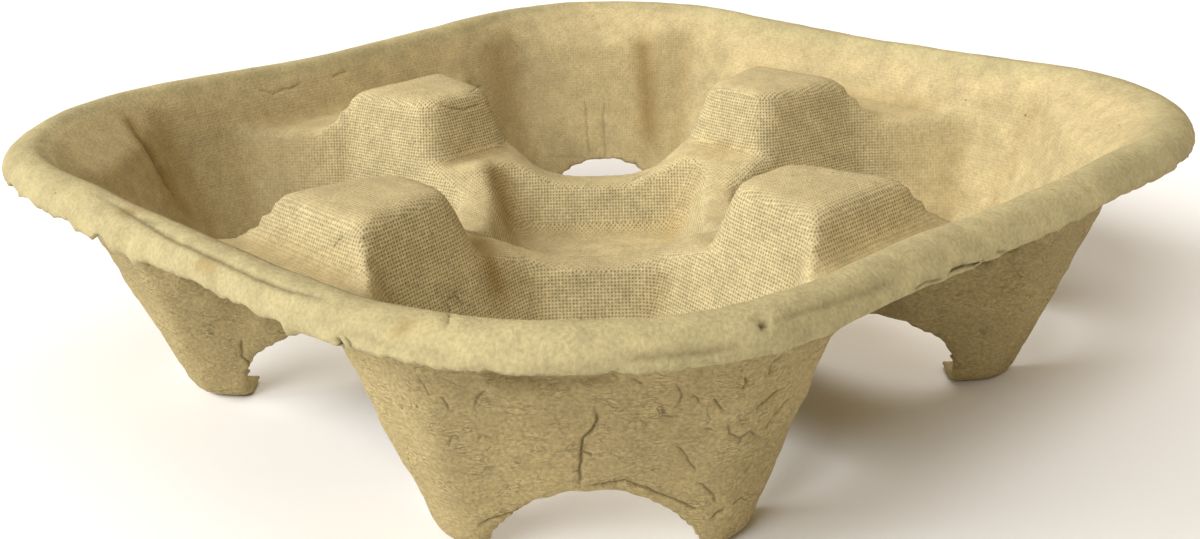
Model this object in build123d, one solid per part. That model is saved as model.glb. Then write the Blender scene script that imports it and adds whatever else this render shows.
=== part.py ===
from build123d import *
import os
from itertools import combinations
from math import atan2, cos, degrees, hypot, isclose, radians, sin, sqrt, tan

# Moulded pulp carrier for four cups: one sheet of pressed fibre, drawn into four pockets
# round a shallow middle well, with hollow posts between the pockets and a turned-down rim.
# Millimetres, +Z up, the origin on the table under the middle, the sides along X and Y.
# Sizes are those of the cup side of the sheet. The underside is the same form grown by the sheet.

# Sheet and overall size
sheet = 2.2
tray_side = 212.0
tray_height = 55.0

# Rim: a flat crest, rolled outward and down into a short lip
rim_width = 8.0
rim_corner_radius = 53.0
lip_radius = 5.5
lip_skirt = 1.0

# Mouth: the flare from the pockets' walls out to the crest
mouth_height = 9.0
side_flare = 5.3
corner_flare = 14.6

# Pocket walls, which lean in from the foot of the mouth down to the table. The tighter bends
# between them are rounded, by no more than the walls' feet have room for.
side_draft = 19.0
corner_draft = 20.5
tunnel_draft = 17.5
foot_facet = 6.5
foot_ease = 1.8
pocket_corner_radius = 5.5
least_rounded_bend = 40
room_share = 0.48

# Posts at the middle of each side, set back from the crest
post_drop = 3.2
post_setback = 26.0
post_length = 24.5
post_outer_half = 14.2
post_inner_half = 9.4
post_draft = 17.5
post_front_draft = 22.0
post_edge_radius = 4.5
post_nose_radius = 7.0

# Valleys between the posts and the rim
valley_drop = 13.0
valley_radius = 4.0

# Saddles between neighbouring posts, bowed down in the middle
saddle_drop = 21.2
saddle_setback = 0.66
saddle_width = 8.0
saddle_half_span = 21.0
saddle_rise = 6.0

# The well that the saddles enclose
well_depth = 10.6
well_draft = 25.0
well_corner_radius = 6.0
well_floor_ease = 1.8

# Arches cut into the pockets' feet, under the corner wall and through the tunnel walls
corner_arch_height = 15.5
corner_arch_half_width = 18.5
tunnel_arch_height = 16.5
tunnel_arch_half_width = 14.5
tunnel_arch_setback = 27.2

# How near counts as touching, how far joined spaces run into each other and cutters run past
hair = 0.0001
overlap = 0.5
overrun = 6.0
quarter_turns = (0, 90, 180, 270)


def heading(angle):
    """The unit direction at an angle from +X, in the table's plane."""
    return cos(radians(angle)), sin(radians(angle))


def wall(angle, distance, height, draft):
    """A leaning wall: its outward angle, its distance from the middle at table level, its draft."""
    return angle, distance - height * tan(radians(draft)), draft


def stand(leaning, height, grow):
    """How far from the middle a leaning wall stands at a height, grown outward by a thickness."""
    angle, distance, draft = leaning
    return distance + height * tan(radians(draft)) + grow / cos(radians(draft))


def within(walls, low, high, grow):
    """The planes that bound a space between leaning walls, as outward directions and distances."""
    planes = [(Vector(0, 0, -1), -low), (Vector(0, 0, 1), high)]
    for angle, distance, draft in walls:
        outward = Vector(*heading(angle), -tan(radians(draft)))
        planes.append((outward, distance + grow / cos(radians(draft))))
    return planes


def block(walls, low, high, grow):
    """A solid between leaning walls: the corners are where three planes meet inside all others."""
    planes = within(walls, low, high, grow)
    corners = []
    for (a, a_away), (b, b_away), (c, c_away) in combinations(planes, 3):
        spread = a.dot(b.cross(c))
        if not isclose(spread, 0, abs_tol=hair):
            point = (b.cross(c) * a_away + c.cross(a) * b_away + a.cross(b) * c_away) / spread
            if all(outward.dot(point) < away + hair for outward, away in planes):
                corners.append(point)
    return ConvexPolyhedron(corners)


def along(edges, walls, grow):
    """Those of some edges that lie in all of the given leaning walls."""
    planes = within(walls, 0, 0, grow)[2:]

    def lies(edge):
        ends = (edge @ 0, edge @ 1)
        return all(isclose(outward.dot(end), away, abs_tol=hair) for outward, away in planes for end in ends)

    return edges.filter_by(lies)


def cup(walls, floor, top, grow, corner_radius):
    """A hollow between leaning walls, rounded at its tighter bends as far as the walls' feet allow."""
    solid = block(walls, floor - grow, top, grow)
    foot = solid.faces().sort_by(Axis.Z)[0].edges()
    for one, other in zip(walls, walls[1:] + walls[:1]):
        bend = (other[0] - one[0]) % 360
        room = min(sum(edge.length for edge in along(foot, (leaning,), grow)) for leaning in (one, other))
        radius = min(corner_radius + grow, room_share * room / tan(radians(bend / 2)))
        edges = along(solid.edges(), (one, other), grow)
        if bend > least_rounded_bend and edges and radius > sheet:
            solid = fillet(edges, radius)
    return solid


# Places that follow from those sizes
mouth_foot = tray_height - mouth_height
crest_half = tray_side / 2 - rim_width
crest_corner_radius = rim_corner_radius - rim_width
crest_reach = crest_half * sqrt(2) - crest_corner_radius * (sqrt(2) - 1)

side_wall = wall(0, crest_half - side_flare, mouth_foot, side_draft)
corner_wall = wall(45, crest_reach - corner_flare, mouth_foot, corner_draft)
corner_foot = stand(corner_wall, 0, 0)
tunnel_wall = wall(-45, (stand(side_wall, 0, 0) + foot_facet / 2) * sqrt(2) - corner_foot, 0, tunnel_draft)

post_height = tray_height - post_drop
post_outer = crest_half - post_setback
post_inner = post_outer - post_length
post_spread = degrees(atan2(post_outer_half - post_inner_half, post_length))
post_offset = post_outer_half * cos(radians(post_spread)) - post_outer * sin(radians(post_spread))
post_front = wall(0, post_outer, post_height, -post_front_draft)
post_nose = wall(180, -post_inner, post_height, -post_draft)

saddle_height = post_height - saddle_drop
saddle_reach = -stand(post_nose, saddle_height, 0) / sqrt(2) - saddle_setback
ledge_height = saddle_height + saddle_rise
bow = (saddle_half_span**2 + saddle_rise**2) / (2 * saddle_rise)
well_height = saddle_height - well_depth

valley_height = tray_height - valley_drop
valley_middle = (stand(side_wall, valley_height, 0) + stand(post_front, valley_height, 0)) / 2
valley_reach = stand(side_wall, valley_height, 0) - stand(tunnel_wall, valley_height, 0) * sqrt(2) + overrun
tunnel_arch_reach = corner_foot - tunnel_arch_setback


def pocket(grow, top):
    """A cup pocket: corner wall, two side walls, two tunnel walls, two post faces and a saddle."""
    saddle_face = -(saddle_reach + saddle_width / 2)
    walls = [
        corner_wall,
        (90, *side_wall[1:]),
        (135, *tunnel_wall[1:]),
        wall(180 - post_spread, -post_offset, post_height, post_draft),
        wall(225, saddle_face, saddle_height, post_draft),
        wall(270 + post_spread, -post_offset, post_height, post_draft),
        (315, *tunnel_wall[1:]),
        side_wall,
    ]
    return cup(walls, sheet, top, grow, pocket_corner_radius)


def eased_foot(shape):
    """A pocket with its outer foot edge eased, from one tunnel wall round to the other."""
    edges = shape.faces().sort_by(Axis.Z)[0].edges()
    return chamfer(edges.sort_by(Axis((0, 0, 0), (1, 1, 0)))[-1], foot_ease)


def well(grow):
    """The middle well between the four saddles."""
    offset = saddle_reach - saddle_width / 2
    walls = [wall(turn + 45, offset, saddle_height, well_draft) for turn in quarter_turns]
    return cup(walls, well_height, ledge_height, grow, well_corner_radius)


def posts(grow):
    """The posts that stand in the hollows, shrunk where the hollows grow."""
    walls = [
        post_front,
        wall(90 + post_spread, post_offset, post_height, -post_draft),
        post_nose,
        wall(270 - post_spread, post_offset, post_height, -post_draft),
    ]
    post = block(walls, ledge_height - overrun, post_height - grow, -grow)
    if grow == 0:
        nose = along(post.edges(), walls[1:3], 0) + along(post.edges(), walls[2:], 0)
        post = fillet(nose, post_nose_radius)
        post = fillet(post.faces().sort_by(Axis.Z)[-1].edges(), post_edge_radius)
    return [Rot(0, 0, turn) * post for turn in quarter_turns]


def crown(grow):
    """The space above the well, round the noses of the four posts."""
    reach = post_inner + post_nose_radius + overlap
    walls = [wall(turn, reach, post_height, post_draft) for turn in quarter_turns]
    space = block(walls, ledge_height - grow, post_height + overlap, grow)
    return space.cut(*posts(grow))


def head(grow, top):
    """The space above the posts and round their tops."""
    low = post_height - post_edge_radius * (1 - sin(radians(post_draft))) - overlap
    space = Pos(0, 0, (low + top) / 2) * Cylinder(valley_middle, top - low)
    return space.cut(*posts(grow))


def saddle_gap(grow):
    """The bowed gap above a saddle, from the middle of the well out into the pocket."""
    disc = Pos(0, saddle_height + bow) * Circle(bow + grow)
    slot = Pos(0, ledge_height + overlap - bow) * Rectangle(2 * bow, 2 * bow)
    across = Plane(origin=(0, 0, 0), x_dir=(-1, 1, 0), z_dir=(1, 1, 0))
    return extrude(across * (disc & slot), amount=tunnel_arch_reach)


def valley(grow, top):
    """The channel between a post's front and the rim, open at both ends into the pockets."""
    floor = valley_height - grow
    corners = [(stand(post_front, height, -grow), height) for height in (top, floor)]
    corners += [(stand(side_wall, height, grow), height) for height in (floor, top)]
    profile = Polygon(*corners, align=None)
    profile = fillet(profile.vertices().sort_by(Axis.Y)[:2], valley_radius + grow)
    return extrude(Plane.XZ * profile, amount=valley_reach, both=True)


def mouth(grow, top):
    """The flare that carries the walls out to the rounded crest."""
    side_slope = side_flare / mouth_height
    corner_slope = corner_flare / mouth_height

    def ring(height):
        half = crest_half + (height - tray_height) * side_slope + grow * hypot(1, side_slope)
        reach = crest_reach + (height - tray_height) * corner_slope + grow * hypot(1, corner_slope)
        radius = (half * sqrt(2) - reach) / (sqrt(2) - 1)
        return Pos(0, 0, height) * RectangleRounded(2 * half, 2 * half, radius)

    foot = mouth_foot - sheet
    flare = loft([ring(foot), ring(top)], ruled=True)
    core = Pos(0, 0, foot) * Cylinder(valley_middle, 2 * (top - foot))
    return flare - core


def joined(shapes):
    """One solid out of overlapping ones."""
    return shapes[0].fuse(*shapes[1:]).clean()


def hollow(grow, top):
    """All that lies above the sheet, or with growth all that lies above its underside."""
    basin = pocket(grow, top)
    middle = well(grow)
    if grow > 0:
        basin = eased_foot(basin)
    else:
        middle = chamfer(middle.faces().sort_by(Axis.Z)[0].edges(), well_floor_ease)
    shapes = [middle, crown(grow), head(grow, top), mouth(grow, top)]
    for turn in quarter_turns:
        for shape in (basin, saddle_gap(grow), valley(grow, top)):
            shapes.append(Rot(0, 0, turn) * shape)
    return joined(shapes)


def rim():
    """The crest's flat ledge with its turned-down lip."""
    lip_drop = lip_radius + lip_skirt
    lip_foot = tray_height - lip_drop
    side = tray_side - 2 * sheet
    outer = extrude(Pos(0, 0, lip_foot) * RectangleRounded(tray_side, tray_side, rim_corner_radius), lip_drop)
    outer = fillet(outer.faces().sort_by(Axis.Z)[-1].edges(), lip_radius)
    inner_plan = Pos(0, 0, lip_foot - overrun) * RectangleRounded(side, side, rim_corner_radius - sheet)
    inner = extrude(inner_plan, lip_drop + overrun - sheet)
    inner = chamfer(inner.faces().sort_by(Axis.Z)[-1].edges(), (lip_radius - sheet) * (2 - sqrt(2)))
    return outer - inner


def arch(half_width, height, length):
    """A round-topped cutter lying on the table along X, from the origin outward."""
    radius = (half_width**2 + height**2) / (2 * height)
    return extrude(Plane.YZ * Pos(0, height - radius) * Circle(radius), length)


def foot_arches():
    """The arch under a pocket's corner wall and the one through both its tunnel walls."""
    reach = Pos(tunnel_arch_reach, 0, 0)
    outward = arch(corner_arch_half_width, corner_arch_height, crest_reach - tunnel_arch_reach)
    sideways = arch(tunnel_arch_half_width, tunnel_arch_height, stand(tunnel_wall, 0, sheet) + overrun)
    cutters = [outward, Rot(0, 0, 90) * sideways, Rot(0, 0, -90) * sideways]
    return [Rot(0, 0, 45) * reach * cutter for cutter in cutters]


underside = hollow(sheet, tray_height - sheet / 2)
cup_side = hollow(0, tray_height + overrun)
arches = [Rot(0, 0, turn) * cutter for turn in quarter_turns for cutter in foot_arches()]
carrier = (rim() + underside - cup_side).cut(*arches)

os.makedirs("parts", exist_ok=True)
export_step(carrier, "parts/cup_carrier.step")
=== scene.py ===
import bpy
import bmesh
import math
import numpy as np
from mathutils import Matrix, Vector, noise
from mathutils.bvhtree import BVHTree
from mathutils.kdtree import KDTree


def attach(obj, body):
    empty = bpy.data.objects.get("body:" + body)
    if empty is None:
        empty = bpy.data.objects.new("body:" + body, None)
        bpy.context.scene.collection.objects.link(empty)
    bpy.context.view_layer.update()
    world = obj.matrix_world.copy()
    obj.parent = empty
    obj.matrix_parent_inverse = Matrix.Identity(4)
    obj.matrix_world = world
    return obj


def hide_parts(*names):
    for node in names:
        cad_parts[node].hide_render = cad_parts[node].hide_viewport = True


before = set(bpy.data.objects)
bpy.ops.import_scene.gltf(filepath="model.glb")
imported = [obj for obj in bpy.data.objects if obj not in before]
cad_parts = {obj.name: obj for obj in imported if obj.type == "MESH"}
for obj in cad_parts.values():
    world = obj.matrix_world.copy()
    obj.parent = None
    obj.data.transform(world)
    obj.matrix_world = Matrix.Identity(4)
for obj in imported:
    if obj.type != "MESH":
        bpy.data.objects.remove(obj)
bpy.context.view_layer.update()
MM = 0.001
# One seed for the wander of the cracks, so that each run draws them alike
WANDER_SEED = 7
noise.seed_set(WANDER_SEED)


def linear(hex_code):
    """A screen colour such as c8b48a as linear red, green, blue and alpha."""
    parts = [int(hex_code[i:i + 2], 16) / 255 for i in (0, 2, 4)]
    return [c / 12.92 if c <= 0.04045 else ((c + 0.055) / 1.055) ** 2.4 for c in parts] + [1.0]


# Camera, solved from the photo, whose frame is 1200 by 539 pixels
FRAME_WIDTH, FRAME_HEIGHT = 1200, 539
AZIMUTH, ELEVATION, ROLL = 46.42, 21.30, -1.81
CAMERA_PLACE = Vector((213.1, -202.2, 132.4)) * MM
LENS, SENSOR = 41.05, 36
NEAREST_SHOWN = 10 * MM


def camera_axes():
    """The camera's right, up and backward directions."""
    a, e, r = math.radians(AZIMUTH), math.radians(ELEVATION), math.radians(ROLL)
    back = Vector((math.sin(a) * math.cos(e), -math.cos(a) * math.cos(e), math.sin(e)))
    right = Vector((math.cos(a), math.sin(a), 0))
    up = back.cross(right)
    across = right * math.cos(r) + up * math.sin(r)
    upward = up * math.cos(r) - right * math.sin(r)
    return across, upward, back


def make_camera():
    data = bpy.data.cameras.new("camera")
    data.lens = LENS
    data.sensor_width = SENSOR
    data.clip_start = NEAREST_SHOWN
    camera = bpy.data.objects.new("camera", data)
    camera.matrix_world = Matrix(camera_axes()).transposed().to_4x4()
    camera.location = CAMERA_PLACE
    bpy.context.scene.collection.objects.link(camera)
    bpy.context.scene.camera = camera


def sight_line(pixel):
    """The direction from the camera through a pixel of the photo."""
    across, upward, back = camera_axes()
    reach = LENS / SENSOR * FRAME_WIDTH
    sideways = across * (pixel[0] - FRAME_WIDTH / 2)
    downward = upward * (pixel[1] - FRAME_HEIGHT / 2)
    return (sideways - downward - back * reach).normalized()


# The carrier's skin: the solid's surface, meshed evenly and softened as pressed pulp is
GRAIN = 1.45 * MM
WELD_GAP = 0.002 * MM
SOFTENING, SOFTENING_STRENGTH = 3, 0.5


def applied(holder):
    """An object's mesh with its modifiers applied. The object itself is removed."""
    bpy.context.scene.collection.objects.link(holder)
    graph = bpy.context.evaluated_depsgraph_get()
    mesh = bpy.data.meshes.new_from_object(holder.evaluated_get(graph))
    bpy.data.objects.remove(holder)
    mesh.name = "pulp_carrier"
    return mesh


def even_skin(node):
    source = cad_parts[node].data.copy()
    shape = bmesh.new()
    shape.from_mesh(source)
    bmesh.ops.remove_doubles(shape, verts=shape.verts, dist=WELD_GAP)
    shape.to_mesh(source)
    shape.free()
    source.materials.clear()
    holder = bpy.data.objects.new("skin", source)
    remesh = holder.modifiers.new("even", "REMESH")
    remesh.mode = "VOXEL"
    remesh.voxel_size = GRAIN
    return applied(holder)


def soften(mesh, passes):
    shape = bmesh.new()
    shape.from_mesh(mesh)
    for step in range(passes):
        bmesh.ops.smooth_vert(shape, verts=shape.verts, factor=SOFTENING_STRENGTH,
                              use_axis_x=True, use_axis_y=True, use_axis_z=True)
    shape.to_mesh(mesh)
    shape.free()


def places(mesh):
    """Vertex places in millimetres and vertex normals, one row each."""
    flat = np.empty(len(mesh.vertices) * 3, np.float32)
    mesh.vertices.foreach_get("co", flat)
    spots = flat.reshape(-1, 3).astype(float) / MM
    mesh.vertex_normals.foreach_get("vector", flat)
    return spots, flat.reshape(-1, 3).astype(float)


def set_places(mesh, spots):
    mesh.vertices.foreach_set("co", (spots * MM).astype(np.float32).ravel())
    mesh.update()


# How far apart two seeds lie in the noise, and how each finer octave fades and shrinks
SEED_SHIFT = (17.3, 5.1, 9.7)
OCTAVE_FADE, OCTAVE_SHRINK = 1.0, 2.0


def ripple(spots, size, octaves, seed):
    """Smooth random heights of about -1 to 1, with lumps of a size in millimetres."""
    shift = Vector([seed * step for step in SEED_SHIFT])
    return np.array([noise.fractal(Vector(p) / size + shift, OCTAVE_FADE, OCTAVE_SHRINK, octaves)
                     for p in spots])


def ease(values, start, end):
    """A smooth step from 0 at start to 1 at end."""
    t = np.clip((values - start) / (end - start), 0, 1)
    return t * t * (3 - 2 * t)


# The rim's outline, in millimetres
TRAY_HALF, CORNER_RADIUS = 106.0, 53.0


def inset(spots):
    """How far inside the rim's outer edge a place is, seen from above."""
    q = np.abs(spots[:, :2]) - (TRAY_HALF - CORNER_RADIUS)
    outside = np.hypot(np.maximum(q[:, 0], 0), np.maximum(q[:, 1], 0))
    return CORNER_RADIUS - outside - np.minimum(np.maximum(q[:, 0], q[:, 1]), 0)


# How much the corners of the rim have risen with drying, and where that starts and is full
CORNER_LIFTS = {(1, -1): 2.45, (-1, 1): 2.45, (1, 1): 0.7, (-1, -1): 0.7}
LIFTED_HEIGHTS, LIFTED_REACHES = (18, 52), (62, 122)
# Where the rim starts and is full, how far it sways up and out, and how little of that changes with height
RIM_INSETS, RIM_HEIGHTS = (24, 6), (40, 50)
SWAY_UP, SWAY_OUT, SWAY_WITH_HEIGHT = 0.55, 0.7, 0.2


def warp(spots):
    """The tray with its corners lifted and its rim swaying a little."""
    moved = spots.copy()
    upper = ease(spots[:, 2], *LIFTED_HEIGHTS)
    for (sx, sy), lift in CORNER_LIFTS.items():
        reach = (spots[:, 0] * sx + spots[:, 1] * sy) / math.sqrt(2)
        moved[:, 2] += lift * upper * ease(reach, *LIFTED_REACHES)
    rim = ease(inset(spots), *RIM_INSETS) * ease(spots[:, 2], *RIM_HEIGHTS)
    flat = spots * (1, 1, SWAY_WITH_HEIGHT)
    moved[:, 2] += SWAY_UP * rim * ripple(flat, size=34, octaves=2, seed=1)
    side = ripple(flat, size=40, octaves=2, seed=2) * rim * SWAY_OUT
    reach = np.maximum(np.hypot(spots[:, 0], spots[:, 1]), 1)
    moved[:, :2] += spots[:, :2] * (side / reach)[:, None]
    return moved


def skin_tree(mesh):
    return BVHTree.FromPolygons([v.co for v in mesh.vertices], [p.vertices for p in mesh.polygons])


# How far off the skin a ray starts, so that it misses the face that it leaves
RAY_START = 0.3


def cup_side(mesh, spots, normals):
    """1 where a place on the skin is open to the sky, 0 on the underside."""
    tree = skin_tree(mesh)
    up = Vector((0, 0, 1))
    lifted = (spots + normals * RAY_START) * MM
    return np.array([0.0 if tree.ray_cast(Vector(p), up)[0] else 1.0 for p in lifted])


# Cracks, as pixels of the photo that each one runs through: half width, depth, darkness, line. The darkness
# is painted shade along each crack, over a dent cut into the skin
CRACKS = [
    (0.24, 0.7, 0.9, [(595, 407), (597, 422), (591, 432), (583, 439), (581, 452),
                      (580, 472), (580, 488)]),
    (0.20, 0.4, 0.8, [(582, 451), (588, 453), (592, 457)]),
    (0.20, 0.4, 0.7, [(486, 390), (478, 397), (473, 408)]),
    (0.20, 0.3, 0.6, [(440, 396), (446, 403), (449, 411)]),
    (0.20, 0.3, 0.6, [(416, 378), (424, 385), (430, 397)]),
    (0.20, 0.3, 0.5, [(449, 446), (451, 438), (458, 436)]),
    (0.20, 0.3, 0.5, [(478, 441), (483, 435), (494, 440)]),
    (0.40, 1.0, 1.0, [(335, 337), (341, 346), (347, 360)]),
    (0.24, 0.5, 0.8, [(344, 337), (349, 343), (355, 352)]),
    (0.20, 0.4, 0.6, [(630, 378), (637, 382), (644, 385)]),
    (0.20, 0.4, 0.6, [(692, 395), (697, 398), (700, 404)]),
    (0.20, 0.3, 0.6, [(676, 384), (681, 393), (680, 402), (675, 409)]),
    (0.20, 0.3, 0.5, [(664, 415), (672, 417), (680, 416)]),
    (0.22, 0.4, 0.7, [(714, 398), (717, 404), (723, 410)]),
    (0.22, 0.4, 0.7, [(745, 376), (746, 383), (743, 390)]),
    (0.24, 0.5, 0.7, [(783, 355), (774, 362), (768, 376)]),
    (0.28, 0.6, 0.8, [(780, 390), (768, 400), (756, 409)]),
    (0.26, 0.5, 0.8, [(791, 398), (780, 409), (769, 424), (765, 430)]),
    (0.24, 0.5, 0.7, [(728, 424), (730, 434), (740, 439), (750, 432), (761, 438)]),
    (0.22, 0.4, 0.7, [(750, 433), (743, 438), (738, 446)]),
    (0.20, 0.4, 0.6, [(704, 428), (713, 431)]),
    (0.22, 0.4, 0.7, [(676, 446), (683, 452), (688, 461), (697, 472)]),
    (0.24, 0.5, 0.7, [(697, 482), (713, 495), (716, 505)]),
    (0.20, 0.4, 0.6, [(754, 462), (746, 472)]),
    (0.20, 0.4, 0.6, [(767, 467), (762, 474)]),
    (0.22, 0.4, 0.6, [(742, 498), (733, 505)]),
    (0.26, 0.5, 0.7, [(726, 510), (718, 512), (711, 520)]),
    (0.26, 0.5, 0.8, [(583, 487), (604, 484), (626, 481), (645, 488), (660, 495),
                      (676, 501), (692, 508), (704, 510)]),
    (0.26, 0.5, 0.8, [(478, 526), (490, 520), (512, 513), (535, 504)]),
    (0.26, 0.5, 0.7, [(241, 338), (242, 357), (253, 365)]),
    (0.22, 0.4, 0.6, [(343, 236), (338, 240), (333, 249)]),
    (0.30, 0.4, 0.25, [(257, 90), (264, 91), (273, 94), (279, 91), (292, 88), (303, 83)]),
    (0.30, 0.4, 0.25, [(332, 78), (340, 74), (348, 71)]),
    (0.40, 0.3, 0.30, [(585, 98), (587, 130), (589, 160)]),
    (0.40, 0.3, 0.30, [(604, 98), (604, 130), (606, 163)]),
    (0.40, 0.2, 0.25, [(542, 157), (587, 157)]),
    (0.30, 0.4, 0.45, [(630, 182), (641, 175), (652, 169)]),
    (0.26, 0.4, 0.5, [(440, 105), (452, 108), (464, 110), (481, 104)]),
    (0.24, 0.4, 0.5, [(470, 92), (481, 86)]),
    (0.24, 0.4, 0.6, [(447, 300), (450, 310), (448, 325)]),
    (0.24, 0.4, 0.6, [(447, 298), (458, 297), (463, 305)]),
]
# The pressed groove inside the bead, creases under it and slits torn in it; their darkness is painted shade
# along each line
CREASES = [
    (0.45, 0.8, 0.65, [(99, 195), (129, 212), (170, 238), (202, 252), (232, 266), (255, 277),
                       (290, 290), (325, 299)]),
    (1.1, 1.1, 0.30, [(126, 114), (134, 127), (143, 140), (152, 155), (165, 180), (176, 198)]),
    (2.0, 0.7, 0.04, [(641, 30), (645, 60), (649, 100), (650, 140)]),
    (0.9, 0.7, 0.15, [(330, 328), (375, 341), (387, 347), (425, 352), (454, 357)]),
    (0.9, 0.7, 0.25, [(461, 369), (485, 374), (545, 381), (600, 380), (622, 370), (626, 360)]),
    (0.7, 0.9, 0.35, [(626, 360), (687, 355), (726, 350), (742, 346)]),
    (0.7, 0.7, 0.30, [(776, 323), (795, 315), (828, 305), (845, 299), (874, 290), (902, 279)]),
    (0.7, 1.3, 1.00, [(760, 326), (765, 324)]),
    (0.45, 1.2, 0.9, [(950, 275), (958, 269), (968, 266), (980, 265), (991, 261)]),
    (0.35, 0.7, 0.5, [(997, 253), (1008, 252), (1018, 250)]),
    (0.35, 0.7, 0.6, [(915, 290), (928, 283), (943, 279)]),
    (0.35, 0.6, 0.5, [(850, 324), (868, 315), (891, 307)]),
]
# Lumps of loose fibre, and one dent: half width, height, pixel
LUMPS = [
    (2.6, 1.3, (115, 243)), (2.4, 1.4, (139, 258)), (2.8, 1.5, (184, 284)), (3.0, 1.3, (212, 301)),
    (1.6, 1.3, (494, 384)), (1.6, 1.0, (528, 384)), (1.6, 1.0, (590, 383)), (1.6, 1.2, (262, 322)),
    (1.6, 1.2, (290, 327)), (3.5, 0.9, (480, 165)), (4.0, -0.9, (710, 157)),
]
# Brown marks along folds, mostly damp stains and on two fold sides painted shade: half width, strength, line
STAINS_AND_SHADE = [
    (2.6, 0.60, [(126, 114), (143, 140), (160, 170)]),
    (5.0, 0.55, [(156, 160), (172, 192), (188, 220)]),
    (9.0, 0.35, [(160, 190), (172, 202)]),
    (3.0, 0.75, [(478, 232), (490, 265), (500, 300)]),
    (3.5, 0.55, [(497, 165), (503, 200), (507, 236)]),
    # Painted shade on the dark end of the far left wall
    (5.0, 0.40, [(492, 40), (500, 90), (506, 135)]),
    # Painted shade on the shadow side of the fold at the far corner
    (3.2, 0.55, [(642, 30), (648, 90), (650, 148)]),
    (1.8, 0.60, [(398, 322), (404, 326)]),
    (1.6, 0.45, [(196, 262), (214, 268)]),
    (1.6, 0.40, [(120, 207), (135, 213)]),
]


# How many pixels a crack's wander takes to turn; how strong a mark is at its ends, and how fast it grows
WANDER_LENGTH = 7
END_STRENGTH, END_GROWTH = 0.25, 5


def traced(tree, line, step, wander):
    """Points on the skin behind a line of pixels, each with how strong the mark is there."""
    total = sum(math.dist(a, b) for a, b in zip(line, line[1:]))
    found, done = [], 0.0
    for (x0, y0), (x1, y1) in zip(line, line[1:]):
        length = math.dist((x0, y0), (x1, y1))
        parts = max(int(length / step), 1)
        for k in range(parts):
            t = k / parts
            spot = Vector((x0 + (x1 - x0) * t, y0 + (y1 - y0) * t, 0))
            spot += noise.noise_vector(spot / WANDER_LENGTH) * wander
            hit = tree.ray_cast(CAMERA_PLACE, sight_line(spot))[0]
            share = (done + length * t) / total
            if hit:
                found.append((hit, min(1.0, END_STRENGTH + END_GROWTH * min(share, 1 - share))))
        done += length
    return found


def nearness(spots, found):
    """How far each place is from the nearest traced point, in millimetres, and that point's strength."""
    lookup = KDTree(len(found))
    for k, (point, strength) in enumerate(found):
        lookup.insert(point / MM, k)
    lookup.balance()
    best = [lookup.find(Vector(p)) for p in spots]
    return np.array([b[2] for b in best]), np.array([found[b[1]][1] for b in best])


def paint(mesh, name, red, green, blue):
    layer = mesh.color_attributes.new(name, "FLOAT_COLOR", "POINT")
    values = np.stack([red, green, blue, np.ones(len(red))], axis=1)
    layer.data.foreach_set("color", values.astype(np.float32).ravel())


def refine(mesh, points, reach):
    """The skin with finer faces near some points."""
    near = nearness(places(mesh)[0], points)[0] < reach
    shape = bmesh.new()
    shape.from_mesh(mesh)
    shape.verts.ensure_lookup_table()
    edges = [e for e in shape.edges if near[e.verts[0].index] and near[e.verts[1].index]]
    bmesh.ops.subdivide_edges(shape, edges=edges, cuts=1, use_grid_fill=True)
    shape.to_mesh(mesh)
    shape.free()


def thin_hidden(mesh, hidden, share):
    """The same skin with only a share of the faces kept where it cannot be seen."""
    holder = bpy.data.objects.new("skin", mesh)
    group = holder.vertex_groups.new(name="hidden")
    group.add([int(k) for k in np.flatnonzero(hidden)], 1.0, "REPLACE")
    thin = holder.modifiers.new("thin", "DECIMATE")
    thin.vertex_group = "hidden"
    thin.ratio = 1 - (1 - share) * float(np.mean(hidden))
    return applied(holder)


def under_cover(mesh, spots, normals, open_above):
    """True on the underside, where walls stand between a place and the outside."""
    tree = skin_tree(mesh)
    lifted = (spots + normals * RAY_START) * MM
    covered = [bool(tree.ray_cast(Vector(p), Vector((p[0], p[1], 0)))[0]) for p in lifted]
    return np.array(covered) & (open_above < 0.5)


# The share of the faces kept on the hidden underside
HIDDEN_SHARE = 0.08

mesh = even_skin("cup_carrier")
soften(mesh, SOFTENING)
spots, normals = places(mesh)
hidden = under_cover(mesh, spots, normals, cup_side(mesh, spots, normals))
mesh = thin_hidden(mesh, hidden, HIDDEN_SHARE)

# The bead: the insets and heights between which it starts and is full
BEAD_INSETS, BEAD_HEIGHTS = (11.5, 8.0), (45.5, 47.5)

spots, normals = places(mesh)
open_above = cup_side(mesh, spots, normals)
inside = inset(spots)
bead = ease(inside, *BEAD_INSETS) * ease(spots[:, 2], *BEAD_HEIGHTS)
set_places(mesh, warp(spots))

# How high the broad, middle and fine lumps are, what the felt side adds, and what the bead takes off
BROAD_LUMPS = 0.30
MIDDLE_LUMPS, MIDDLE_FELT = 0.10, 0.24
FINE_LUMPS, FINE_FELT, FINE_BEAD = 0.05, 0.12, 0.6

spots, normals = places(mesh)
felt = 1 - open_above
middle = MIDDLE_LUMPS + MIDDLE_FELT * felt * (1 - bead)
fine = (FINE_LUMPS + FINE_FELT * felt) * (1 - FINE_BEAD * bead)
lumps = BROAD_LUMPS * ripple(spots, size=26, octaves=2, seed=3)
lumps += middle * ripple(spots, size=6.5, octaves=3, seed=4)
lumps += fine * ripple(spots, size=2.6, octaves=2, seed=5)

# The torn lip: its heights, how high it is torn, and the least share of that away from the photo's left side
LIP_HEIGHTS, TEAR_HEIGHT, LEAST_TEAR = (52.5, 49.5), 1.5, 0.35
LEFT_DIRECTION, LEFT_REACHES = (-0.69, -0.724), (-30, 20)
# The groove pressed inside the bead
GROOVE_INSET, GROOVE_HALF_WIDTH, GROOVE_DEPTH = 9.0, 0.8, 0.8

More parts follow.
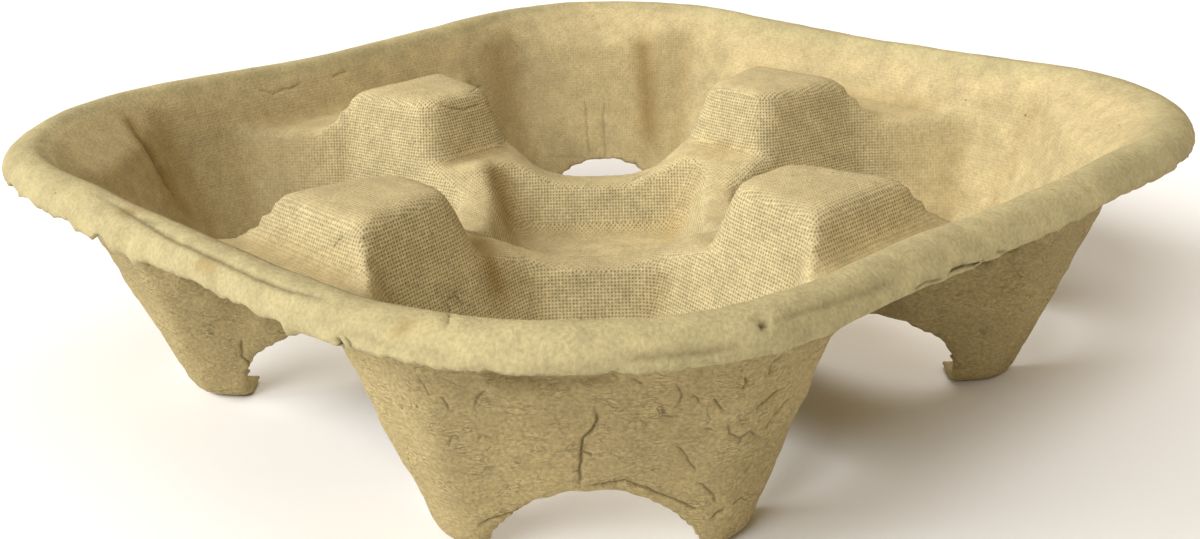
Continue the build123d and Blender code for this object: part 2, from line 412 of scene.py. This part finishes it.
lip = ease(spots[:, 2], *LIP_HEIGHTS) * bead
leftward = LEFT_DIRECTION[0] * spots[:, 0] + LEFT_DIRECTION[1] * spots[:, 1]
wear = LEAST_TEAR + (1 - LEAST_TEAR) * ease(leftward, *LEFT_REACHES)
torn = lip * ripple(spots, size=4.0, octaves=3, seed=6) * wear
spots += normals * lumps[:, None]
spots[:, 2] += TEAR_HEIGHT * torn
across_groove = np.exp(-((inside - GROOVE_INSET) / GROOVE_HALF_WIDTH) ** 2)
groove = across_groove * open_above * (0.5 + 0.5 * ripple(spots, size=16, octaves=2, seed=7))
spots[:, 2] -= GROOVE_DEPTH * np.maximum(groove, 0)
set_places(mesh, spots)

# How many of its half widths a lump of loose fibre reaches, and how rough it is
LUMP_REACH, LUMP_ROUGHNESS = 3, 0.5

tree = skin_tree(mesh)
for width, height, pixel in LUMPS:
    hit = tree.ray_cast(CAMERA_PLACE, sight_line(pixel))[0]
    if hit:
        away = np.linalg.norm(spots - np.array(hit) / MM, axis=1)
        near = away < LUMP_REACH * width
        rough = 1 + LUMP_ROUGHNESS * ripple(spots[near], size=1.8, octaves=2, seed=8)
        rise = normals[near] * height * np.exp(-(away[near] / width) ** 2)[:, None]
        spots[near] += rise * rough[:, None]
set_places(mesh, spots)

# Painted shade in folds: how deep a place lies below its softened neighbourhood
FOLD_SOFTENING, FOLD_DEPTH = 12, 1.2

soft = mesh.copy()
soften(soft, FOLD_SOFTENING)
soft_spots = places(soft)[0]
bpy.data.meshes.remove(soft)
spots, normals = places(mesh)
fold_shade = np.clip(((soft_spots - spots) * normals).sum(axis=1) / FOLD_DEPTH, 0, 1)
paint(mesh, "skin", open_above, bead, fold_shade)

# How closely marks are traced and how far they wander, in pixels
CRACK_STEP, CRACK_WANDER = 0.7, 1.2
STAIN_AND_SHADE_STEP, STAIN_AND_SHADE_WANDER = 3.0, 3.0
# Below what half width a crack is thin, and how near to marks the faces are split each time
THIN_CRACK = 0.35
FIRST_SPLIT, SECOND_SPLIT, THIN_SPLIT = 1.5, 0.8, 0.42
# How far from its line a crack or crease is still worked out
MARK_REACH = 3.0
# What the tables' darkness, depth and half widths are multiplied by
DARKNESS, DARK_WIDTH = 0.85, 0.85
DEPTH, DENT_WIDTH = 0.65, 1.2

tree = skin_tree(mesh)
lines = [(width, depth, dark, traced(tree, line, CRACK_STEP, CRACK_WANDER))
         for width, depth, dark, line in CRACKS + CREASES]
stains_and_shade = [(width, strength, traced(tree, line, STAIN_AND_SHADE_STEP, STAIN_AND_SHADE_WANDER)) for width, strength, line in STAINS_AND_SHADE]
everything = [point for width, depth, dark, found in lines for point in found]
thin_ones = [point for width, depth, dark, found in lines for point in found if width < THIN_CRACK]
for reach, found in ((FIRST_SPLIT, everything), (SECOND_SPLIT, everything), (THIN_SPLIT, thin_ones)):
    refine(mesh, found, reach)
spots, normals = places(mesh)
crack_shade = np.zeros(len(spots))
dent = np.zeros(len(spots))
close = np.flatnonzero(nearness(spots, everything)[0] < MARK_REACH)
# Each line's painted shade, and the dent that sinks it
for width, depth, dark, found in lines:
    away, strength = nearness(spots[close], found)
    darkened = DARKNESS * dark * strength * np.exp(-(away / (DARK_WIDTH * width)) ** 2)
    sunk = DEPTH * depth * strength * np.exp(-(away / (DENT_WIDTH * width)) ** 2)
    crack_shade[close] = np.maximum(crack_shade[close], darkened)
    dent[close] = np.maximum(dent[close], sunk)
# Brown stains, and painted shade on the dark sides of two folds
stain_and_shade = np.zeros(len(spots))
for width, brown, found in stains_and_shade:
    away, strength = nearness(spots, found)
    stain_and_shade = np.maximum(stain_and_shade, brown * strength * np.exp(-(away / width) ** 2))

# The wire printed the posts, saddles and well most, their tops less and the outer pocket walls least
OUTER_PRINT, PRINT_RADII = 0.25, (88, 70)
TOP_LOSS, TOP_SLOPES = 0.55, (0.75, 0.95)

reach = np.hypot(spots[:, 0], spots[:, 1])
inner = OUTER_PRINT + (1 - OUTER_PRINT) * ease(reach, *PRINT_RADII)
printed = inner * (1 - TOP_LOSS * ease(normals[:, 2], *TOP_SLOPES))
set_places(mesh, spots - normals * dent[:, None])
paint(mesh, "marks", crack_shade, stain_and_shade, printed)


# The wire mould's directions: flat parts take X and Y, walls take the nearest of eight headings
HEADING_STEP = math.pi / 4
LEVEL_SLOPE, WALL_STRETCH = 0.62, 1.06


def lay_weave(mesh):
    count = len(mesh.loops)
    owner = np.empty(count, np.int32)
    mesh.loops.foreach_get("vertex_index", owner)
    sizes = np.empty(len(mesh.polygons), np.int32)
    mesh.polygons.foreach_get("loop_total", sizes)
    flat = np.empty(len(mesh.polygons) * 3, np.float32)
    mesh.polygons.foreach_get("normal", flat)
    facing = np.repeat(flat.reshape(-1, 3), sizes, axis=0)
    p = places(mesh)[0][owner]
    turn = np.round(np.arctan2(facing[:, 1], facing[:, 0]) / HEADING_STEP) * HEADING_STEP
    level = np.abs(facing[:, 2]) > LEVEL_SLOPE
    u = np.where(level, p[:, 0], p[:, 1] * np.cos(turn) - p[:, 0] * np.sin(turn))
    v = np.where(level, p[:, 1], p[:, 2] * WALL_STRETCH)
    layer = mesh.uv_layers.new(name="weave")
    layer.data.foreach_set("uv", np.stack([u, v], axis=1).astype(np.float32).ravel())


lay_weave(mesh)
for polygon in mesh.polygons:
    polygon.use_smooth = True


def add(tree, kind, settings=None, **links):
    """Adds a node: settings are its own, and each link is a value or a socket for an input."""
    made = tree.nodes.new(kind)
    for name, value in (settings or {}).items():
        setattr(made, name, value)
    for name, value in links.items():
        key = int(name[1:]) if name[1:].isdigit() else name.replace("_", " ")
        if isinstance(value, bpy.types.NodeSocket):
            tree.links.new(value, made.inputs[key])
        else:
            made.inputs[key].default_value = value
    return made


# Sizes of the pulp's patterns, in millimetres
WIRE_PITCH = 0.72
SHADE_SIZE, MOTTLE_SIZE, GRAIN_SIZE, SWIRL_SIZE, BARK_SPACING = 24, 4, 0.7, 7, 8
STREAK_LENGTH, STREAK_WIDTH = 2.4, 0.7
# Swirling and streaked wrinkles: how wide they are in their noise, how light they stay, and their heights
WRINKLE_WIDTHS, WRINKLE_LIGHTS, WRINKLE_HEIGHTS = (0.010, 0.05), (0.66, 0.62), (-0.12, -0.10)
# Heights of the other relief, in millimetres
PIT_HEIGHT, GRAIN_HEIGHT, MOTTLE_HEIGHT = -0.16, 0.15, 0.13
# The part of the bark's cells that stay empty
EMPTY_CELLS = 0.55
# Colours: the cup side where it is printed least and most, the felt side, the bead, the brown of stains and
# of painted shade in folds, bark, and the painted shade in cracks
LEAST_PRINTED, MOST_PRINTED, FELT_SIDE, BEAD = "b4a47a", "c0b288", "a8986d", "aa9f77"
DAMP_AND_SHADE, BARK, CRACK_SHADE = "84682f", "4e3d1e", "3d2f14"


def moulded_pulp():
    """Moulded pulp: matt, fibrous and warm tan, with the mould's wire mesh printed on its cup side."""
    pulp = bpy.data.materials.new("moulded pulp")
    pulp.use_nodes = True
    tree = pulp.node_tree
    surface = tree.nodes["Principled BSDF"]
    surface.inputs["Roughness"].default_value = 0.93
    surface.inputs["Specular IOR Level"].default_value = 0.25

    place = add(tree, "ShaderNodeTexCoord").outputs["Object"]
    skin = add(tree, "ShaderNodeSeparateColor",
               Color=add(tree, "ShaderNodeAttribute", {"attribute_name": "skin"}).outputs["Color"])
    wire, bead, fold_shade = (skin.outputs[k] for k in range(3))
    marks = add(tree, "ShaderNodeSeparateColor",
                Color=add(tree, "ShaderNodeAttribute", {"attribute_name": "marks"}).outputs["Color"])
    broad, mottle, grain = (
        add(tree, "ShaderNodeTexNoise", Vector=place, Scale=1 / (size * MM), Detail=detail).outputs[0]
        for size, detail in ((SHADE_SIZE, 3.0), (MOTTLE_SIZE, 4.0), (GRAIN_SIZE, 2.0)))

    uv = add(tree, "ShaderNodeUVMap", {"uv_map": "weave"}).outputs[0]
    split = add(tree, "ShaderNodeSeparateXYZ", Vector=uv)
    waves = []
    for k in range(2):
        turns = add(tree, "ShaderNodeMath", {"operation": "MULTIPLY"},
                    _0=split.outputs[k], _1=2 * math.pi / WIRE_PITCH)
        wave = add(tree, "ShaderNodeMath", {"operation": "COSINE"}, _0=turns.outputs[0])
        waves.append(add(tree, "ShaderNodeMath", {"operation": "MULTIPLY_ADD"},
                         _0=wave.outputs[0], _1=0.5, _2=0.5))
    pits = add(tree, "ShaderNodeMath", {"operation": "MULTIPLY"},
               _0=waves[0].outputs[0], _1=waves[1].outputs[0])
    bare = add(tree, "ShaderNodeMath", {"operation": "SUBTRACT", "use_clamp": True}, _0=wire, _1=bead)
    bare = add(tree, "ShaderNodeMath", {"operation": "MULTIPLY"}, _0=bare.outputs[0], _1=marks.outputs[2])
    pits = add(tree, "ShaderNodeMath", {"operation": "MULTIPLY"}, _0=pits.outputs[0], _1=bare.outputs[0])

    # Squiggling wrinkles where the felt side dried, and short fine ones that lie along the walls
    felt = add(tree, "ShaderNodeMath", {"operation": "SUBTRACT"}, _0=1.0, _1=wire)
    swirl = add(tree, "ShaderNodeTexNoise", Vector=place, Scale=1 / (SWIRL_SIZE * MM),
                Detail=3.0, Distortion=0.5).outputs[0]
    stretched = add(tree, "ShaderNodeVectorMath", {"operation": "MULTIPLY"},
                    _0=uv, _1=(1 / STREAK_LENGTH, 1 / STREAK_WIDTH, 1))
    streak = add(tree, "ShaderNodeTexNoise", Vector=stretched.outputs[0], Scale=1.0,
                 Detail=2.0, Distortion=0.4).outputs[0]
    patch = add(tree, "ShaderNodeMapRange", Value=mottle,
                From_Min=0.38, From_Max=0.68, To_Min=0.0, To_Max=1.0)
    wrinkles = []
    for pattern, width in zip((swirl, streak), WRINKLE_WIDTHS):
        off = add(tree, "ShaderNodeMath", {"operation": "SUBTRACT"}, _0=pattern, _1=0.5)
        off = add(tree, "ShaderNodeMath", {"operation": "ABSOLUTE"}, _0=off.outputs[0])
        line = add(tree, "ShaderNodeMapRange", Value=off.outputs[0], From_Max=width, To_Min=1.0, To_Max=0.0)
        line = add(tree, "ShaderNodeMath", {"operation": "MULTIPLY"}, _0=line.outputs[0], _1=patch.outputs[0])
        wrinkles.append(add(tree, "ShaderNodeMath", {"operation": "MULTIPLY"},
                            _0=line.outputs[0], _1=felt.outputs[0]))

    cup = add(tree, "ShaderNodeMix", {"data_type": "RGBA"}, Factor=marks.outputs[2],
              _6=linear(LEAST_PRINTED), _7=linear(MOST_PRINTED))
    tone = add(tree, "ShaderNodeMix", {"data_type": "RGBA"}, Factor=wire,
               _6=linear(FELT_SIDE), _7=cup.outputs[2])
    tone = add(tree, "ShaderNodeMix", {"data_type": "RGBA"}, Factor=bead,
               _6=tone.outputs[2], _7=linear(BEAD))
    shade = add(tree, "ShaderNodeMapRange", Value=broad,
                From_Min=0.3, From_Max=0.7, To_Min=0.86, To_Max=1.06)
    spot = add(tree, "ShaderNodeMapRange", Value=mottle,
               From_Min=0.25, From_Max=0.75, To_Min=0.84, To_Max=1.1)
    plain = add(tree, "ShaderNodeMath", {"operation": "MULTIPLY"}, _0=marks.outputs[2], _1=bare.outputs[0])
    rough = add(tree, "ShaderNodeMath", {"operation": "MAXIMUM"}, _0=plain.outputs[0], _1=felt.outputs[0])
    rough = add(tree, "ShaderNodeMapRange", Value=rough.outputs[0], To_Min=0.15, To_Max=0.24)
    fleck = add(tree, "ShaderNodeMapRange", Value=grain,
                From_Min=0.25, From_Max=0.75, To_Min=-1.0, To_Max=1.0)
    speck = add(tree, "ShaderNodeMath", {"operation": "MULTIPLY_ADD"},
                _0=fleck.outputs[0], _1=rough.outputs[0], _2=1.0)
    dark = add(tree, "ShaderNodeMapRange", Value=pits.outputs[0], To_Min=1.08, To_Max=0.56)
    level = shade
    lines = [add(tree, "ShaderNodeMapRange", Value=wrinkle.outputs[0], To_Min=1.0, To_Max=least)
             for wrinkle, least in zip(wrinkles, WRINKLE_LIGHTS)]
    for other in [spot, speck, dark] + lines:
        level = add(tree, "ShaderNodeMath", {"operation": "MULTIPLY"},
                    _0=level.outputs[0], _1=other.outputs[0])
    tone = add(tree, "ShaderNodeVectorMath", {"operation": "SCALE"},
               _0=tone.outputs[2], Scale=level.outputs[0])
    # Painted shade: darker and browner the deeper a place lies in a fold
    fold_shade_mix = add(tree, "ShaderNodeMapRange", Value=fold_shade, From_Min=0.05, From_Max=0.8, To_Min=0.0, To_Max=0.75)
    tone = add(tree, "ShaderNodeMix", {"data_type": "RGBA"}, Factor=fold_shade_mix.outputs[0],
               _6=tone.outputs[0], _7=linear(DAMP_AND_SHADE))
    # Brown stains, and painted shade on the dark sides of two folds
    stain_and_shade_blot = add(tree, "ShaderNodeMath", {"operation": "MULTIPLY", "use_clamp": True},
               _0=marks.outputs[1], _1=spot.outputs[0])
    tone = add(tree, "ShaderNodeMix", {"data_type": "RGBA"}, Factor=stain_and_shade_blot.outputs[0],
               _6=tone.outputs[2], _7=linear(DAMP_AND_SHADE))
    # Scattered dark specks of bark and print, at most one to a cell
    cells = add(tree, "ShaderNodeTexVoronoi", Vector=place, Scale=1 / (BARK_SPACING * MM))
    lot = add(tree, "ShaderNodeSeparateColor", Color=cells.outputs["Color"])
    bark = add(tree, "ShaderNodeMapRange", Value=cells.outputs["Distance"],
               From_Min=0.02, From_Max=0.05, To_Min=0.75, To_Max=0.0)
    drawn = add(tree, "ShaderNodeMath", {"operation": "GREATER_THAN"}, _0=lot.outputs[0], _1=EMPTY_CELLS)
    bark = add(tree, "ShaderNodeMath", {"operation": "MULTIPLY"}, _0=bark.outputs[0], _1=drawn.outputs[0])
    tone = add(tree, "ShaderNodeMix", {"data_type": "RGBA"}, Factor=bark.outputs[0],
               _6=tone.outputs[2], _7=linear(BARK))
    # Painted shade along the cracks, creases, groove and slits
    tone = add(tree, "ShaderNodeMix", {"data_type": "RGBA"}, Factor=marks.outputs[0],
               _6=tone.outputs[2], _7=linear(CRACK_SHADE))
    tree.links.new(tone.outputs[2], surface.inputs["Base Color"])

    high = add(tree, "ShaderNodeMath", {"operation": "MULTIPLY"}, _0=pits.outputs[0], _1=PIT_HEIGHT)
    high = add(tree, "ShaderNodeMath", {"operation": "MULTIPLY_ADD"},
               _0=grain, _1=GRAIN_HEIGHT, _2=high.outputs[0])
    high = add(tree, "ShaderNodeMath", {"operation": "MULTIPLY_ADD"},
               _0=mottle, _1=MOTTLE_HEIGHT, _2=high.outputs[0])
    for wrinkle, height in zip(wrinkles, WRINKLE_HEIGHTS):
        high = add(tree, "ShaderNodeMath", {"operation": "MULTIPLY_ADD"},
                   _0=wrinkle.outputs[0], _1=height, _2=high.outputs[0])
    bump = add(tree, "ShaderNodeBump", Height=high.outputs[0], Strength=1.0, Distance=MM)
    tree.links.new(bump.outputs[0], surface.inputs["Normal"])
    return pulp


mesh.materials.clear()
mesh.materials.append(moulded_pulp())
carrier = bpy.data.objects.new("pulp_carrier", mesh)
bpy.context.scene.collection.objects.link(carrier)
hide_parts("cup_carrier")
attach(carrier, "root")


# Floor and light: the floor's half side in metres, the floor's and the sky's colours, and the sky's strength
FLOOR_HALF = 30
FLOOR_COLOUR, SKY_COLOUR = "f4f5f6", "ffe2b6"
SKY_STRENGTH = 0.34


def make_floor():
    data = bpy.data.meshes.new("floor")
    shape = bmesh.new()
    bmesh.ops.create_grid(shape, x_segments=1, y_segments=1, size=FLOOR_HALF)
    shape.to_mesh(data)
    shape.free()
    paper = bpy.data.materials.new("pale paper floor")
    paper.use_nodes = True
    surface = paper.node_tree.nodes["Principled BSDF"]
    surface.inputs["Base Color"].default_value = linear(FLOOR_COLOUR)
    surface.inputs["Roughness"].default_value = 0.9
    data.materials.append(paper)
    floor = bpy.data.objects.new("floor", data)
    bpy.context.scene.collection.objects.link(floor)


def add_light(name, place, spread, strength):
    """A soft light of some degrees' width that shines from a place towards the tray and evenly past it."""
    data = bpy.data.lights.new(name, "SUN")
    data.angle = math.radians(spread)
    data.energy = strength
    lamp = bpy.data.objects.new(name, data)
    lamp.location = place
    lamp.rotation_euler = Vector(place).to_track_quat("Z", "Y").to_euler()
    bpy.context.scene.collection.objects.link(lamp)


make_camera()
make_floor()
add_light("left light", (-0.9, -1.09, 0.73), spread=35, strength=2.75)
add_light("front fill", (0.33, -1.11, 0.93), spread=30, strength=1.85)
add_light("overhead light", (0.0, 0.1, 1.0), spread=50, strength=0.75)
world = bpy.data.worlds.new("studio")
world.use_nodes = True
sky = world.node_tree.nodes["Background"]
sky.inputs["Color"].default_value = linear(SKY_COLOUR)
sky.inputs["Strength"].default_value = SKY_STRENGTH
bpy.context.scene.world = world
bpy.context.scene.view_settings.view_transform = "Standard"
